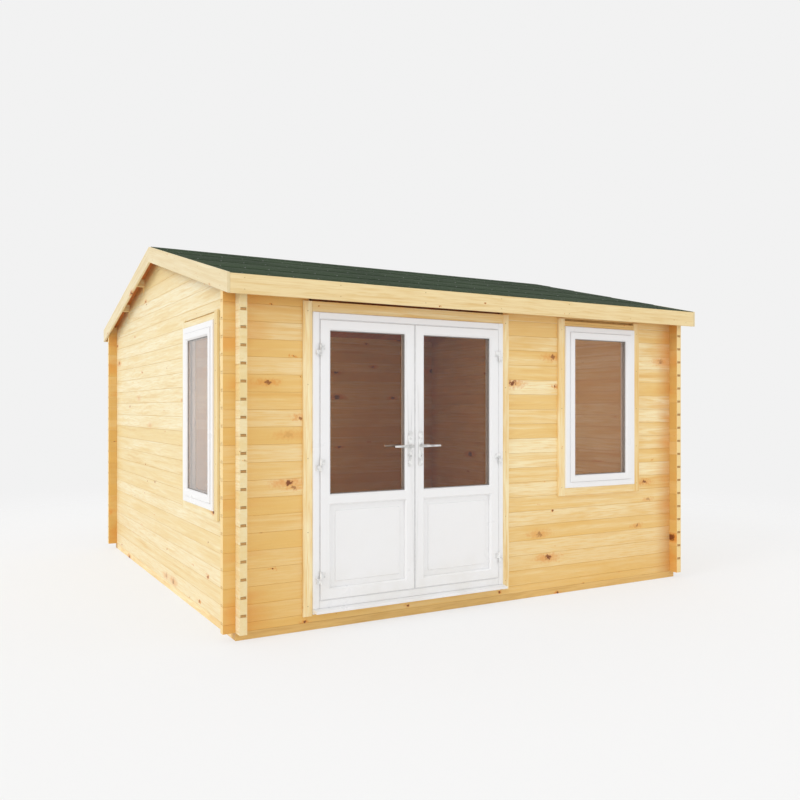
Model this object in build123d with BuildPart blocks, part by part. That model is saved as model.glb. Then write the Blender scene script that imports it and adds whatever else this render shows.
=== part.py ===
# Garden log cabin: interlocking tongued logs on a bearer frame, felted roof, glazed double door.
# Millimetres, Z up, front towards -Y, origin on the ground at the middle of the plan.
import os
from math import cos, radians, tan

from build123d import *

os.makedirs("parts", exist_ok=True)

# Walls
cabin_width = 3500.0  # outer face to outer face along X
cabin_depth = 3500.0  # outer face to outer face along Y
log_thickness = 44.0
log_pitch = 100.0  # height one log covers
log_stub = 72.0  # how far a log runs past the crossing wall
joint_gap = 0.4  # fit between neighbouring timbers
tongue_width = 33.0
tongue_height = 13.0
groove_relief = 2.0  # the groove is this much deeper than the tongue is tall
joint_bevel = 1.2  # vee along each log joint
overrun = 5.0  # cutters reach this far past a face

# Base and floor
bearer_height = 45.0
bearer_width = 70.0
joist_width = 45.0
inner_joists = 5
floor_thickness = 18.0
floor_edge_gap = 1.0

# Roof
ridge_height = 2500.0
gable_height = 455.0  # ridge over the top of the side wall logs
roof_angle = 13.76
eaves_overhang = 129.0
board_thickness = 16.0  # barge and fascia boards
barge_height = 113.0
fascia_height = 109.0
felt_thickness = 3.0
deck_thickness = 18.0
purlin_width = 44.0
purlin_height = 120.0
purlin_end_height = 55.0  # what is left of it past the gable wall
purlins_per_slope = 2

# Frames shared by the door and the windows
frame_proud = 28.0  # frame face in front of the wall face
frame_depth = 70.0
frame_face = 40.0
stop_lip = 13.0  # thickness of the lip behind a leaf or sash
stop_cover = 14.0  # how far the lip stands into the opening
sash_proud = 6.0  # leaf or sash face in front of the frame face
stop_clearance = 5.0  # a leaf hangs this far in front of the lip
face_bevel = 3.0
bead_bevel = 9.0  # slope round the glass
pane_thickness = 24.0
pane_cover = 12.0  # edge of the pane held in its groove
pane_edge_gap = 2.0
trim_width = 57.0
trim_thickness = 16.0
lining_thickness = 20.0

# Door
door_centre = -600.0
door_width = 1380.0
door_head_drop = 632.0  # top of the door frame under the ridge
threshold_height = 45.0
cill_height = 30.0
cill_nose = 20.0
cill_reach = 78.0  # nose in front of the wall face
door_trim_rise = 63.0  # head trim over the door frame
door_trim_drop = 11.0  # side trims lap the log below the doorway
door_slot_rise = 84.0  # settling room over the door frame
leaf_gap = 6.0
meeting_gap = 10.0
stile_width = 64.0
top_rail = 58.0
bottom_rail = 64.0
panel_height = 490.0
middle_rail = 63.0
panel_plate = 20.0
panel_field_inset = 34.0
panel_field_rise = 5.0
panel_field_slope = 4.0

# Hinges
hinge_foot_inset = 130.0  # lowest hinge over the foot of the leaf
hinge_head_inset = 177.0  # highest hinge under the head of the leaf
hinge_middle_drop = 7.5  # middle hinge under the half way line
hinge_stand_off = 9.0  # pin axis in front of the leaf face
knuckle_radius = 7.0
knuckle_height = 32.0
pin_radius = 4.0
pin_fit = 0.08
knuckle_gap = 1.0
flag_width = 27.0

# Handles
handle_height = 1067.0
handle_inset = 33.0  # spindle from the meeting edge of the leaf
plate_width = 30.0
plate_above = 93.0
plate_below = 127.0
plate_thickness = 8.0
plate_corner = 6.0
spindle_side = 8.0
spindle_bore = 6.6
hub_radius = 9.0
hub_length = 36.0
hub_gap = 1.0
grip_length = 138.0
grip_height = 18.0
grip_depth = 11.0
barrel_drop = 62.0  # lock barrel under the spindle
barrel_radius = 8.5
barrel_proud = 4.0

# Windows
window_width = 667.0
window_height = 1142.0
window_head_drop = 619.0  # top of the front window frame under the ridge
window_sill_least = 20.0  # least timber between the frame and the log under it
front_head_trim = 18.0  # trim over the front window
side_head_trim = 40.0  # trim over the left window
window_slot_rise = 54.0  # settling room over the frame
window_sill_drop = 11.0  # sill trim laps the log below
sash_gap = 2.0
sash_face = 45.0
front_window_centre = 973.0
side_window_centre = -1070.0

# Derived lines
half_width = cabin_width / 2
half_depth = cabin_depth / 2
half_log = log_thickness / 2
groove_depth = tongue_height + groove_relief
groove_half = tongue_width / 2 + joint_gap
slope = tan(radians(roof_angle))
upright = 1 / cos(radians(roof_angle))
front_face = -half_depth
left_face = -half_width
barge_inner = half_width + log_stub + joint_gap
barge_outer = barge_inner + board_thickness
fascia_front = half_depth + eaves_overhang
fascia_back = fascia_front - board_thickness
deck_top_ridge = ridge_height - felt_thickness * upright
deck_under_ridge = deck_top_ridge - deck_thickness * upright
front_first = bearer_height + log_pitch / 2
door_sill = front_first
full_courses = round((ridge_height - gable_height - bearer_height) / log_pitch)
side_wall_top = bearer_height + full_courses * log_pitch
floor_top = bearer_height + floor_thickness
frame_front = front_face - frame_proud
frame_back = frame_front + frame_depth
sash_front = frame_front - sash_proud
lip_front = frame_back - stop_lip
leaf_back = lip_front - stop_clearance


def roof_line(ridge, y):
    return ridge - abs(y) * slope


def block(x0, x1, y0, y1, z0, z1, mode=Mode.ADD):
    with Locations(((x0 + x1) / 2, (y0 + y1) / 2, (z0 + z1) / 2)):
        Box(x1 - x0, y1 - y0, z1 - z0, mode=mode)


def log_outline(height, grooved):
    # Section of a log with its weather face towards -Y
    tongue = tongue_width / 2
    outline = [(-half_log, joint_bevel), (joint_bevel - half_log, 0)]
    if grooved:
        outline += [(-groove_half, 0), (-groove_half, groove_depth)]
        outline += [(groove_half, groove_depth), (groove_half, 0)]
    outline += [(half_log, 0), (half_log, height)]
    outline += [(tongue, height), (tongue, height + tongue_height)]
    outline += [(-tongue, height + tongue_height), (-tongue, height)]
    outline += [(joint_bevel - half_log, height), (-half_log, height - joint_bevel)]
    return outline


def make_log(half_length, crossing, height, grooved=True, notched=True):
    # A log along X; a notch half its height straddles each log of the crossing wall.
    # The tongue stops at the notches, so the groove shows open in the end of each stub.
    notch = half_log + joint_gap
    with BuildPart() as log:
        with BuildSketch(Plane.YZ.offset(-half_length)):
            with BuildLine():
                Polyline(*log_outline(height, grooved), close=True)
            make_face()
        extrude(amount=half_length * 2)
        if crossing:
            top = height + tongue_height + overrun
            for side in (-1, 1):
                if notched:
                    middle = side * crossing
                    block(middle - notch, middle + notch, -log_thickness, log_thickness, -overrun,
                          log_pitch / 2, mode=Mode.SUBTRACT)
                ends = sorted((side * (crossing - notch), side * (half_length + overrun)))
                block(*ends, -log_thickness, log_thickness, height, top, mode=Mode.SUBTRACT)
    return log.part


# Space over the roof boards, used to trim wall tops to the slope
roof_reach = half_depth + eaves_overhang + overrun
with BuildPart() as over_roof:
    with BuildSketch(Plane.YZ.offset(-half_width - cabin_width)):
        with BuildLine():
            Polyline(
                (-roof_reach, roof_line(deck_under_ridge - joint_gap, roof_reach)),
                (0, deck_under_ridge - joint_gap),
                (roof_reach, roof_line(deck_under_ridge - joint_gap, roof_reach)),
                (roof_reach, ridge_height + log_pitch),
                (-roof_reach, ridge_height + log_pitch),
                close=True,
            )
        make_face()
    extrude(amount=cabin_width * 3)

# Log kinds for the front and back walls, then for the side walls
body_height = log_pitch - joint_gap
front_crossing = half_width - half_log
side_crossing = half_depth - half_log
front_half = half_width + log_stub
side_half = half_depth + log_stub
front_foot = make_log(front_half, front_crossing, log_pitch / 2 - joint_gap, False, False)
front_log = make_log(front_half, front_crossing, body_height)
side_foot = make_log(side_half, side_crossing, body_height, False)
side_log = make_log(side_half, side_crossing, body_height)
gable_log = make_log(half_depth - log_thickness - joint_gap, 0, body_height)

front_courses = []
course = front_first
while course < roof_line(deck_under_ridge, half_depth - log_thickness):
    front_courses.append(course)
    course += log_pitch
side_courses = [bearer_height + log_pitch * i for i in range(1, full_courses)]
gable_courses = []
course = side_wall_top
while course < deck_under_ridge - groove_depth:
    gable_courses.append(course)
    course += log_pitch

# Cut-outs for the door and the windows
lining_gap = lining_thickness + joint_gap
door_left = door_centre - door_width / 2
door_right = door_centre + door_width / 2
window_half = window_width / 2
door_top = ridge_height - door_head_drop
door_trim_top = door_top + door_trim_rise
door_trim_foot = door_sill - door_trim_drop
door_slot_top = door_top + door_slot_rise
door_courses = int((door_slot_top - front_first) / log_pitch)
door_head_joint = front_first + log_pitch * door_courses
front_window_foot = ridge_height - window_head_drop - window_height
sill_courses = int((front_window_foot - window_sill_least - front_first) / log_pitch)
front_window_sill = front_first + log_pitch * sill_courses
window_sill_rise = front_window_foot - front_window_sill
side_window_sill = front_window_sill - log_pitch / 2
side_window_foot = side_window_sill + window_sill_rise
front_line = front_face + half_log
left_line = left_face + half_log
through = (front_line - log_thickness, front_line + log_thickness)
through_left = (left_line - log_thickness, left_line + log_thickness)
window_cut = window_half + lining_gap

with BuildPart() as front_wall:
    with Locations((0, front_line, bearer_height)):
        add(front_foot)
    with Locations(*[(0, front_line, z) for z in front_courses]):
        add(front_log)
    block(door_left - lining_gap, door_right + lining_gap, *through, door_sill - joint_gap / 2,
          door_slot_top, mode=Mode.SUBTRACT)
    block(front_window_centre - window_cut, front_window_centre + window_cut, *through,
          front_window_sill - joint_gap / 2, front_window_foot + window_height + window_slot_rise,
          mode=Mode.SUBTRACT)
    add(over_roof.part, mode=Mode.SUBTRACT)

front_logs = front_wall.part.solids()

with BuildPart() as front_bottom_log:
    add([s for s in front_logs if s.center().Z < front_first])
front_bottom_log.part.label = "front_bottom_log"
export_step(front_bottom_log.part, "parts/front_bottom_log.step")

beside = [s for s in front_logs if front_first < s.center().Z < door_head_joint]
with BuildPart() as front_wall_left_of_door:
    add([s for s in beside if s.center().X < door_centre])
front_wall_left_of_door.part.label = "front_wall_left_of_door"
export_step(front_wall_left_of_door.part, "parts/front_wall_left_of_door.step")

with BuildPart() as front_wall_right_of_door:
    add([s for s in beside if s.center().X > door_centre])
front_wall_right_of_door.part.label = "front_wall_right_of_door"
export_step(front_wall_right_of_door.part, "parts/front_wall_right_of_door.step")

with BuildPart() as front_wall_top:
    add([s for s in front_logs if s.center().Z > door_head_joint])
front_wall_top.part.label = "front_wall_top"
export_step(front_wall_top.part, "parts/front_wall_top.step")

with BuildPart() as back_wall:
    with Locations((0, -front_line, bearer_height)):
        add(front_foot, rotation=(0, 0, 180))
    with Locations(*[(0, -front_line, z) for z in front_courses]):
        add(front_log, rotation=(0, 0, 180))
    add(over_roof.part, mode=Mode.SUBTRACT)
back_wall.part.label = "back_wall"
export_step(back_wall.part, "parts/back_wall.step")

# Purlin lines: the ridge, then even steps down each slope to the wall
purlin_step = (half_depth - half_log) / (purlins_per_slope + 1)
purlin_lines = [purlin_step * i for i in range(-purlins_per_slope, purlins_per_slope + 1)]

with BuildPart() as purlins:
    for line in purlin_lines:
        head = roof_line(deck_under_ridge, line)
        sides = (line - purlin_width / 2, line + purlin_width / 2)
        block(left_face, half_width, *sides, head - purlin_height, head + overrun)
        # The ends are cut back so that the barge boards hide them
        block(joint_gap - barge_inner, barge_inner - joint_gap, *sides,
              head - purlin_end_height, head + overrun)
    add(over_roof.part, mode=Mode.SUBTRACT)
purlins.part.label = "purlins"
export_step(purlins.part, "parts/purlins.step")

with BuildPart() as purlin_seats:
    for line in purlin_lines:
        foot = roof_line(deck_under_ridge, line) - purlin_height - joint_gap
        block(-barge_outer, barge_outer, line - purlin_width / 2 - joint_gap,
              line + purlin_width / 2 + joint_gap, foot, foot + purlin_height * 2)

with BuildPart() as side_wall:
    with Locations((0, 0, bearer_height)):
        add(side_foot, rotation=(0, 0, -90))
    with Locations(*[(0, 0, z) for z in side_courses]):
        add(side_log, rotation=(0, 0, -90))
    add(over_roof.part, mode=Mode.SUBTRACT)

with BuildPart() as gable:
    with Locations(*[(0, 0, z) for z in gable_courses]):
        add(gable_log, rotation=(0, 0, -90))
    add(over_roof.part, mode=Mode.SUBTRACT)
    add(purlin_seats.part, mode=Mode.SUBTRACT)

with BuildPart() as left_wall:
    with Locations((left_line, 0, 0)):
        add(side_wall.part)
    block(*through_left, side_window_centre - window_cut, side_window_centre + window_cut,
          side_window_sill - joint_gap / 2, side_window_foot + window_height + window_slot_rise,
          mode=Mode.SUBTRACT)
left_wall.part.label = "left_wall"
export_step(left_wall.part, "parts/left_wall.step")

with BuildPart() as left_gable:
    with Locations((left_line, 0, 0)):
        add(gable.part)
left_gable.part.label = "left_gable"
export_step(left_gable.part, "parts/left_gable.step")

with BuildPart() as right_wall:
    with Locations((-left_line, 0, 0)):
        add(side_wall.part, rotation=(0, 0, 180))
right_wall.part.label = "right_wall"
export_step(right_wall.part, "parts/right_wall.step")

with BuildPart() as right_gable:
    with Locations((-left_line, 0, 0)):
        add(gable.part, rotation=(0, 0, 180))
right_gable.part.label = "right_gable"
export_step(right_gable.part, "parts/right_gable.step")

# Bearers under the walls, joists between them, floor over both
bearer_back = front_face + bearer_width
with BuildPart() as bearers:
    for side in (-1, 1):
        block(left_face, half_width, *sorted((side * half_depth, side * bearer_back * -1)), 0,
              bearer_height - joint_gap)
bearers.part.label = "bearers"
export_step(bearers.part, "parts/bearers.step")

joist_reach = -bearer_back - joint_gap
joist_step = (cabin_width - bearer_width) / (inner_joists + 1)
with BuildPart() as joists:
    for i in range(inner_joists + 2):
        middle = left_face + bearer_width / 2 + joist_step * i
        half = bearer_width / 2 if i in (0, inner_joists + 1) else joist_width / 2
        block(middle - half, middle + half, -joist_reach, joist_reach, 0, bearer_height - joint_gap)
joists.part.label = "joists"
export_step(joists.part, "parts/joists.step")

floor_x = half_width - log_thickness - floor_edge_gap
floor_y = half_depth - log_thickness - floor_edge_gap
with BuildPart() as floor:
    block(-floor_x, floor_x, -floor_y, floor_y, bearer_height, floor_top)
floor.part.label = "floor"
export_step(floor.part, "parts/floor.step")

# Roof boards and felt lie between the barge boards; the felt laps the fascia
deck_end = barge_inner - joint_gap
with BuildPart() as roof_deck:
    for side in (-1, 1):
        near = side * joint_gap / 2
        far = side * (fascia_back - joint_gap)
        with BuildSketch(Plane.YZ.offset(-deck_end)):
            with BuildLine():
                Polyline(
                    (near, roof_line(deck_under_ridge, near)),
                    (far, roof_line(deck_under_ridge, far)),
                    (far, roof_line(deck_top_ridge, far)),
                    (near, roof_line(deck_top_ridge, near)),
                    close=True,
                )
            make_face()
        extrude(amount=deck_end * 2)
roof_deck.part.label = "roof_deck"
export_step(roof_deck.part, "parts/roof_deck.step")

felt_under_ridge = deck_top_ridge + joint_gap / 2
with BuildPart() as roof_felt:
    for side in (-1, 1):
        near = side * joint_gap / 4
        far = side * fascia_front
        with BuildSketch(Plane.YZ.offset(-deck_end)):
            with BuildLine():
                Polyline(
                    (near, roof_line(felt_under_ridge, near)),
                    (far, roof_line(felt_under_ridge, far)),
                    (far, roof_line(ridge_height, far)),
                    (near, roof_line(ridge_height, near)),
                    close=True,
                )
            make_face()
        extrude(amount=deck_end * 2)
roof_felt.part.label = "roof_felt"
export_step(roof_felt.part, "parts/roof_felt.step")

fascia_foot = roof_line(deck_top_ridge, fascia_front) - fascia_height
with BuildPart() as fascias:
    for side in (-1, 1):
        back = side * fascia_back
        face = side * fascia_front
        with BuildSketch(Plane.YZ.offset(-deck_end)):
            with BuildLine():
                Polyline(
                    (back, fascia_foot),
                    (face, fascia_foot),
                    (face, roof_line(deck_top_ridge, face)),
                    (back, roof_line(deck_top_ridge, back)),
                    close=True,
                )
            make_face()
        extrude(amount=deck_end * 2)
fascias.part.label = "fascias"
export_step(fascias.part, "parts/fascias.step")


def make_barges(start):
    with BuildPart() as barges:
        for side in (-1, 1):
            near = side * joint_gap / 2
            far = side * fascia_front
            with BuildSketch(Plane.YZ.offset(start)):
                with BuildLine():
                    Polyline(
                        (near, roof_line(ridge_height - barge_height, near)),
                        (far, roof_line(ridge_height - barge_height, far)),
                        (far, roof_line(ridge_height, far)),
                        (near, roof_line(ridge_height, near)),
                        close=True,
                    )
                make_face()
            extrude(amount=board_thickness)
    return barges.part


with BuildPart() as left_barges:
    add(make_barges(-barge_outer))
left_barges.part.label = "left_barges"
export_step(left_barges.part, "parts/left_barges.step")

with BuildPart() as right_barges:
    add(make_barges(barge_inner))
right_barges.part.label = "right_barges"
export_step(right_barges.part, "parts/right_barges.step")

# Door frame: four members round the doorway, each with a lip behind the leaves
frame_foot = door_sill + cill_height
opening_left = door_left + frame_face
opening_right = door_right - frame_face
opening_foot = frame_foot + threshold_height
opening_head = door_top - frame_face


def bevel_face(builder, length):
    face = builder.faces().sort_by(Axis.Y)[0]
    chamfer(face.edges().filter_by(Axis.Z), length)


with BuildPart() as left_door_jamb:
    block(door_left, opening_left, frame_front, frame_back, frame_foot, door_top)
    block(opening_left, opening_left + stop_cover, lip_front, frame_back, opening_foot, opening_head)
    bevel_face(left_door_jamb, face_bevel)
left_door_jamb.part.label = "left_door_jamb"
export_step(left_door_jamb.part, "parts/left_door_jamb.step")

with BuildPart() as right_door_jamb:
    block(opening_right, door_right, frame_front, frame_back, frame_foot, door_top)
    block(opening_right - stop_cover, opening_right, lip_front, frame_back, opening_foot, opening_head)
    bevel_face(right_door_jamb, face_bevel)
right_door_jamb.part.label = "right_door_jamb"
export_step(right_door_jamb.part, "parts/right_door_jamb.step")

rail_left = opening_left + joint_gap
rail_right = opening_right - joint_gap
lip_left = opening_left + stop_cover + joint_gap
lip_right = opening_right - stop_cover - joint_gap
with BuildPart() as door_head:
    block(rail_left, rail_right, frame_front, frame_back, opening_head, door_top)
    block(lip_left, lip_right, lip_front, frame_back, opening_head - stop_cover, opening_head)
    chamfer(door_head.faces().sort_by(Axis.Y)[0].edges().filter_by(Axis.X), face_bevel)
door_head.part.label = "door_head"
export_step(door_head.part, "parts/door_head.step")

# Threshold on a sloped cill as long as the frame
cill_front = front_face - cill_reach
cill_top = frame_foot - joint_gap
with BuildPart() as door_threshold:
    block(rail_left, rail_right, frame_front, frame_back, frame_foot, opening_foot)
    block(lip_left, lip_right, lip_front, frame_back, opening_foot, opening_foot + stop_cover)
    chamfer(door_threshold.faces().sort_by(Axis.Y)[0].edges().filter_by(Axis.X), face_bevel)
door_threshold.part.label = "door_threshold"
export_step(door_threshold.part, "parts/door_threshold.step")

with BuildPart() as door_cill:
    with BuildSketch(Plane.YZ.offset(door_left)):
        with BuildLine():
            Polyline(
                (frame_front, cill_top),
                (cill_front, cill_top - (cill_height - cill_nose) / 2),
                (cill_front, cill_top - cill_nose),
                (front_face - trim_thickness - joint_gap, cill_top - cill_nose),
                (front_face - trim_thickness - joint_gap, cill_top),
                close=True,
            )
        make_face()
    extrude(amount=door_width)
    block(door_left, door_right, frame_front, frame_back, door_sill + joint_gap / 2, cill_top)
door_cill.part.label = "door_cill"
export_step(door_cill.part, "parts/door_cill.step")

# Timber trims: boards on both wall faces joined by a lining through the wall
wall_back = front_face + log_thickness
trim_front = front_face - trim_thickness - joint_gap
trim_back = wall_back + trim_thickness + joint_gap
web_front = front_face - joint_gap
web_back = wall_back + joint_gap
side_slack = joint_gap / 2


def trim_post(edge, side, foot, web_foot, top):
    # Side board, lining and inside board in one channel over the log ends
    inner = edge + side * side_slack
    outer = edge + side * trim_width
    board = sorted((inner, outer))
    lining = sorted((inner, edge + side * lining_thickness))
    block(*board, trim_front, web_front, foot, top)
    block(*board, web_back, trim_back, foot, top)
    block(*lining, web_front, web_back, web_foot, top)


with BuildPart() as door_trim:
    trim_post(door_left, -1, door_trim_foot, door_sill + side_slack, door_trim_top)
    trim_post(door_right, 1, door_trim_foot, door_sill + side_slack, door_trim_top)
    head = (door_left + side_slack, door_right - side_slack)
    lintel = door_top + side_slack
    block(*head, trim_front, web_front, lintel, door_trim_top)
    block(*head, web_front, web_back, lintel, lintel + lining_thickness)
    block(*head, web_back, trim_back, lintel, door_slot_top + lining_thickness)
door_trim.part.label = "door_trim"
export_step(door_trim.part, "parts/door_trim.step")

# Window, drawn with its sill middle at the origin and the wall face at Y = 0
pane_pocket = pane_thickness + joint_gap * 2
unit_front = -frame_proud
unit_back = unit_front + frame_depth
unit_lip = unit_back - stop_lip
unit_sash_front = unit_front - sash_proud
unit_sash_back = unit_lip - joint_gap
sash_half = window_half - frame_face - sash_gap
sash_foot = frame_face + sash_gap
sash_top = window_height - sash_foot
glass_half = sash_half - sash_face
glass_foot = sash_foot + sash_face
glass_top = sash_top - sash_face
unit_pane_middle = (unit_sash_front + unit_sash_back) / 2

with BuildPart() as window_frame:
    block(-window_half, window_half, unit_front, unit_back, 0, window_height)
    block(frame_face - window_half, window_half - frame_face, unit_front - overrun, unit_lip,
          frame_face, window_height - frame_face, mode=Mode.SUBTRACT)
    cover = frame_face + stop_cover
    block(cover - window_half, window_half - cover, unit_lip - overrun, unit_back + overrun,
          cover, window_height - cover, mode=Mode.SUBTRACT)
    chamfer(window_frame.faces().sort_by(Axis.Y)[0].edges(), face_bevel)

with BuildPart() as window_sash:
    block(-sash_half, sash_half, unit_sash_front, unit_sash_back, sash_foot, sash_top)
    block(-glass_half, glass_half, unit_sash_front - overrun, unit_sash_back + overrun,
          glass_foot, glass_top, mode=Mode.SUBTRACT)
    chamfer(window_sash.faces().sort_by(Axis.Y)[0].inner_wires()[0].edges(), bead_bevel)
    pocket = pane_cover + pane_edge_gap
    block(-glass_half - pocket, glass_half + pocket, unit_pane_middle - pane_pocket / 2,
          unit_pane_middle + pane_pocket / 2, glass_foot - pocket, glass_top + pocket,
          mode=Mode.SUBTRACT)

with BuildPart() as window_glass:
    block(-glass_half - pane_cover, glass_half + pane_cover, unit_pane_middle - pane_thickness / 2,
          unit_pane_middle + pane_thickness / 2, glass_foot - pane_cover, glass_top + pane_cover)

unit_trim_front = -trim_thickness - joint_gap
unit_web_back = log_thickness + joint_gap
unit_trim_back = unit_web_back + trim_thickness
trim_foot = -window_sill_rise - window_sill_drop
slot_top = window_height + window_slot_rise - joint_gap


def make_window_trim(head_trim):
    with BuildPart() as window_trim:
        for side in (-1, 1):
            near = window_half + side_slack
            board = sorted((side * near, side * (window_half + trim_width)))
            lining = sorted((side * near, side * (window_half + lining_thickness)))
            block(*board, unit_trim_front, -joint_gap, trim_foot, slot_top)
            block(*board, unit_web_back, unit_trim_back, trim_foot, slot_top)
            block(*lining, -joint_gap, unit_web_back, side_slack - window_sill_rise, slot_top)
        span = (side_slack - window_half, window_half - side_slack)
        block(*span, unit_trim_front, -joint_gap, trim_foot, -side_slack)
        block(*span, unit_web_back, unit_trim_back, trim_foot, -side_slack)
        block(*span, -joint_gap, unit_web_back, side_slack - window_sill_rise, -side_slack)
        lintel = window_height + side_slack
        block(*span, unit_trim_front, -joint_gap, lintel, window_height + head_trim)
        block(*span, -joint_gap, unit_web_back, lintel, window_height + lining_thickness)
        block(*span, unit_web_back, unit_trim_back, lintel, slot_top + lining_thickness)
    return window_trim.part


front_place = Location((front_window_centre, front_face, front_window_foot))
left_place = Location((left_face, side_window_centre, side_window_foot), (0, 0, -90))
for place_name, place, head_trim in (("front", front_place, front_head_trim),
                                     ("left", left_place, side_head_trim)):
    for piece_name, piece in (("frame", window_frame.part), ("sash", window_sash.part),
                              ("glass", window_glass.part), ("trim", make_window_trim(head_trim))):
        with BuildPart() as window_piece:
            with Locations(place):
                add(piece)
        window_piece.part.label = place_name + "_window_" + piece_name
        export_step(window_piece.part, "parts/" + place_name + "_window_" + piece_name + ".step")

# Left leaf; the right leaf is its mirror about the middle of the doorway
leaf_left = opening_left + leaf_gap
leaf_right = door_centre - meeting_gap / 2
leaf_foot = opening_foot + leaf_gap
leaf_head = opening_head - leaf_gap
pane_left = leaf_left + stile_width
pane_right = leaf_right - stile_width
panel_foot = leaf_foot + bottom_rail
panel_head = panel_foot + panel_height
pane_foot = panel_head + middle_rail
pane_head = leaf_head - top_rail
leaf_middle = (sash_front + leaf_back) / 2
spindle_x = leaf_right - handle_inset
pocket = pane_cover + pane_edge_gap

with BuildPart() as leaf_frame:
    block(leaf_left, leaf_right, sash_front, leaf_back, leaf_foot, leaf_head)
    for foot, head in ((panel_foot, panel_head), (pane_foot, pane_head)):
        block(pane_left, pane_right, sash_front - overrun, leaf_back + overrun, foot, head,
              mode=Mode.SUBTRACT)
    for loop in leaf_frame.faces().sort_by(Axis.Y)[0].inner_wires():
        chamfer(loop.edges(), bead_bevel)
    for foot, head, depth in ((panel_foot, panel_head, panel_plate), (pane_foot, pane_head, pane_thickness)):
        block(pane_left - pocket, pane_right + pocket, leaf_middle - depth / 2 - joint_gap,
              leaf_middle + depth / 2 + joint_gap, foot - pocket, head + pocket, mode=Mode.SUBTRACT)
    with BuildSketch(Plane.XZ.offset(-leaf_back - overrun)):
        with Locations((spindle_x, handle_height)):
            Circle(spindle_bore)
    extrude(amount=leaf_back - sash_front + overrun * 2, mode=Mode.SUBTRACT)

with BuildPart() as leaf_glass:
    block(pane_left - pane_cover, pane_right + pane_cover, leaf_middle - pane_thickness / 2,
          leaf_middle + pane_thickness / 2, pane_foot - pane_cover, pane_head + pane_cover)

panel_front = leaf_middle - panel_plate / 2
panel_back = leaf_middle + panel_plate / 2
field_width = pane_right - pane_left - panel_field_inset * 2
field_height = panel_height - panel_field_inset * 2
field_centre = ((pane_left + pane_right) / 2, (panel_foot + panel_head) / 2)
with BuildPart() as leaf_panel:
    block(pane_left - pane_cover, pane_right + pane_cover, panel_front, panel_back,
          panel_foot - pane_cover, panel_head + pane_cover)
    for face, way in ((panel_front, 1), (panel_back, -1)):
        with BuildSketch(Plane.XZ.offset(-face)):
            with Locations(field_centre):
                Rectangle(field_width, field_height)
        with BuildSketch(Plane.XZ.offset(way * panel_field_rise - face)):
            with Locations(field_centre):
                Rectangle(field_width - panel_field_slope * 2, field_height - panel_field_slope * 2)
        loft()

# Hinges: pin and lower knuckle on the jamb, upper knuckle on the leaf
lowest_hinge = leaf_foot + hinge_foot_inset
highest_hinge = leaf_head - hinge_head_inset
middle_hinge = (lowest_hinge + highest_hinge) / 2 - hinge_middle_drop
hinge_heights = (lowest_hinge, middle_hinge, highest_hinge)
pin_x = (opening_left + leaf_left) / 2
pin_y = sash_front - hinge_stand_off
with BuildPart() as jamb_hinges:
    for middle in hinge_heights:
        low = middle - knuckle_height - knuckle_gap / 2
        with BuildSketch(Plane.XY.offset(low)):
            with Locations((pin_x, pin_y)):
                Circle(knuckle_radius)
        extrude(amount=knuckle_height)
        block(pin_x - flag_width, pin_x, pin_y, frame_front, low, low + knuckle_height)
        with BuildSketch(Plane.XY.offset(low + knuckle_height)):
            with Locations((pin_x, pin_y)):
                Circle(pin_radius)
        extrude(amount=knuckle_height)

with BuildPart() as leaf_hinges:
    for middle in hinge_heights:
        low = middle + knuckle_gap / 2
        with BuildSketch(Plane.XY.offset(low)):
            with Locations((pin_x, pin_y)):
                Circle(knuckle_radius)
        extrude(amount=knuckle_height)
        block(pin_x, pin_x + flag_width, pin_y, sash_front, low, low + knuckle_height)
        with BuildSketch(Plane.XY.offset(low - overrun)):
            with Locations((pin_x, pin_y)):
                Circle(pin_radius + pin_fit)
        extrude(amount=knuckle_height + overrun * 2, mode=Mode.SUBTRACT)

# Handle: a long plate on each face, both levers on one square spindle
plate_foot = handle_height - plate_below
plate_head = handle_height + plate_above
plate_middle = (plate_foot + plate_head) / 2
plate_front = sash_front - plate_thickness
plate_back = leaf_back + plate_thickness
with BuildPart() as handle_plates:
    for face in (plate_front, leaf_back):
        with BuildSketch(Plane.XZ.offset(-face - plate_thickness)):
            with Locations((spindle_x, plate_middle)):
                outline = Rectangle(plate_width, plate_head - plate_foot)
            chamfer(outline.vertices(), plate_corner)
        extrude(amount=plate_thickness)
    with BuildSketch(Plane.XZ.offset(-plate_back - barrel_proud)):
        with Locations((spindle_x, handle_height - barrel_drop)):
            Circle(barrel_radius)
    extrude(amount=barrel_proud)
    with BuildSketch(Plane.XZ.offset(-plate_front)):
        with Locations((spindle_x, handle_height - barrel_drop)):
            Circle(barrel_radius)
    extrude(amount=barrel_proud)
    with BuildSketch(Plane.XZ.offset(-plate_back - overrun)):
        with Locations((spindle_x, handle_height)):
            Circle(spindle_bore)
    extrude(amount=plate_back - plate_front + overrun * 2, mode=Mode.SUBTRACT)

grip_front = plate_front - hub_gap - hub_length
grip_back = plate_back + hub_gap + hub_length
with BuildPart() as lever:
    for near, far in ((plate_front - hub_gap, grip_front), (grip_back, plate_back + hub_gap)):
        with BuildSketch(Plane.XZ.offset(-near)):
            with Locations((spindle_x, handle_height)):
                Circle(hub_radius)
        extrude(amount=near - far)
    for side in (grip_front, grip_back - grip_depth):
        with BuildSketch(Plane.XZ.offset(-side - grip_depth)):
            with Locations((spindle_x + hub_radius - grip_length / 2, handle_height)):
                SlotOverall(grip_length, grip_height)
        extrude(amount=grip_depth)
    block(spindle_x - spindle_side / 2, spindle_x + spindle_side / 2, plate_front - hub_gap - overrun,
          plate_back + hub_gap + overrun, handle_height - spindle_side / 2,
          handle_height + spindle_side / 2)

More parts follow.
